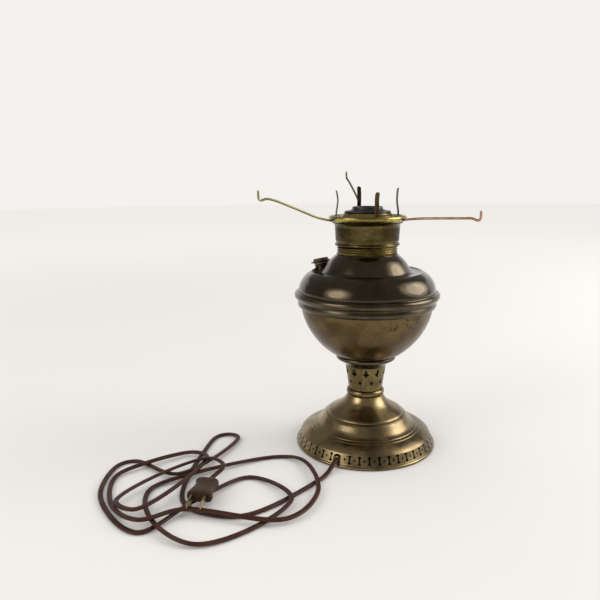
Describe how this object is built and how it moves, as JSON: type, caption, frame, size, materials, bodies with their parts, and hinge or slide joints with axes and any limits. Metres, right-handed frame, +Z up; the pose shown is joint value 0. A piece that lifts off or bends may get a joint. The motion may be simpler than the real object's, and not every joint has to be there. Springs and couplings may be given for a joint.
{
  "type": "table lamp",
  "caption": "Antique brass table lamp: an oil lamp with a pierced foot, round font and chimney gallery, converted to an electric socket, with shade arms, cord and plug.",
  "frame": {"origin": "on the lamp's axis at the height of the table it stands on, at the middle of the felt under the foot", "axes": "+Z up along the lamp's axis; the cord leaves towards -X and -Y, and the front of the lamp faces -Y"},
  "size_m": [0.3719, 0.331, 0.3053],
  "materials": {
    "felt": "dense wool felt",
    "bronze": "dark bronze patina with gold showing where rubbed",
    "olive_brass": "dark olive patina, glossy, with worn speckles",
    "bowl_brass": "brown gold lacquer, worn and stained",
    "dull_brass": "dull aged brass",
    "prong_brass": "heat blackened spring brass",
    "yellow_brass": "yellow brass with brown tarnish in the grooves",
    "phenolic": "black moulded phenolic",
    "fibre": "red vulcanised fibre",
    "cork": "pressed cork",
    "steel": "zinc plated steel",
    "vinyl": "brown vinyl, satin",
    "plug_vinyl": "brown moulded vinyl, satin",
    "blade_brass": "plain brass blades, slightly dull"
  },
  "bodies": {
    "lamp": {"base_felt": "felt", "foot_shell": "bronze", "neck_ring": "bronze", "neck_sleeve": "bronze", "font_seat": "olive_brass", "font_bowl": "bowl_brass", "font_bead_band": "olive_brass", "font_shoulder": "olive_brass", "draft_tube": "dull_brass", "filler_neck": "yellow_brass", "burner_collar": "yellow_brass", "adapter_cone": "yellow_brass", "socket_flange": "phenolic", "socket_body": "phenolic", "socket_insulator": "fibre", "socket_screw_shell": "dull_brass", "socket_centre_contact": "dull_brass", "lamp_pipe": "dull_brass", "draft_tube_plug": "steel", "pipe_nut": "steel", "inner_cord": "vinyl", "cord_bushing": "yellow_brass", "power_cord": "vinyl", "plug_body": "plug_vinyl", "plug_blade_left": "blade_brass", "plug_blade_right": "blade_brass"},
    "gallery": {"gallery_basket": "yellow_brass", "gallery_rim": "yellow_brass"},
    "shade_holder": {"shade_ring": "yellow_brass", "shade_arm_left": "dull_brass", "shade_arm_right": "dull_brass", "shade_arm_back": "dull_brass"},
    "filler_seal": {"filler_washer": "cork"},
    "filler_cap": {"filler_cap": "olive_brass"},
    "prong_1": {"chimney_prong_1": "prong_brass"},
    "prong_2": {"chimney_prong_2": "prong_brass"},
    "prong_3": {"chimney_prong_3": "prong_brass"},
    "prong_4": {"chimney_prong_4": "prong_brass"}
  },
  "joints": [
    {"name": "gallery_lift", "type": "slide", "parent": "lamp", "child": "gallery", "axis": [0, 0, 1], "range_m": [0, 0.024]},
    {"name": "shade_holder_turn", "type": "hinge", "parent": "gallery", "child": "shade_holder", "pos_m": [0, 0, 0.251], "axis": [0, 0, 1], "continuous": true},
    {"name": "filler_cap_lift", "type": "slide", "parent": "lamp", "child": "filler_seal", "axis": [-0.1763, 0.1102, 0.9781], "range_m": [0, 0.006]},
    {"name": "filler_cap_turn", "type": "hinge", "parent": "filler_seal", "child": "filler_cap", "pos_m": [-0.04749, 0.02967, 0.1968], "axis": [-0.1763, 0.1102, 0.9781], "range_deg": [0, 1440]},
    {"name": "prong_1_flex", "type": "hinge", "parent": "gallery", "child": "prong_1", "pos_m": [0.00601, -0.03407, 0.2567], "axis": [0.9848, 0.1736, 0], "range_deg": [0, 6], "stiffness_Nm_per_rad": 0.05},
    {"name": "prong_2_flex", "type": "hinge", "parent": "gallery", "child": "prong_2", "pos_m": [0.03407, 0.00601, 0.2567], "axis": [-0.1736, 0.9848, 0], "range_deg": [0, 6], "stiffness_Nm_per_rad": 0.05},
    {"name": "prong_3_flex", "type": "hinge", "parent": "gallery", "child": "prong_3", "pos_m": [-0.00601, 0.03407, 0.2567], "axis": [-0.9848, -0.1736, 0], "range_deg": [0, 6], "stiffness_Nm_per_rad": 0.05},
    {"name": "prong_4_flex", "type": "hinge", "parent": "gallery", "child": "prong_4", "pos_m": [-0.03407, -0.00601, 0.2567], "axis": [0.1736, -0.9848, 0], "range_deg": [0, 6], "stiffness_Nm_per_rad": 0.05}
  ],
  "couplings": [
    {"joint": "filler_cap_turn", "follows": "filler_cap_lift", "rad_per_m": 4188}
  ]
}
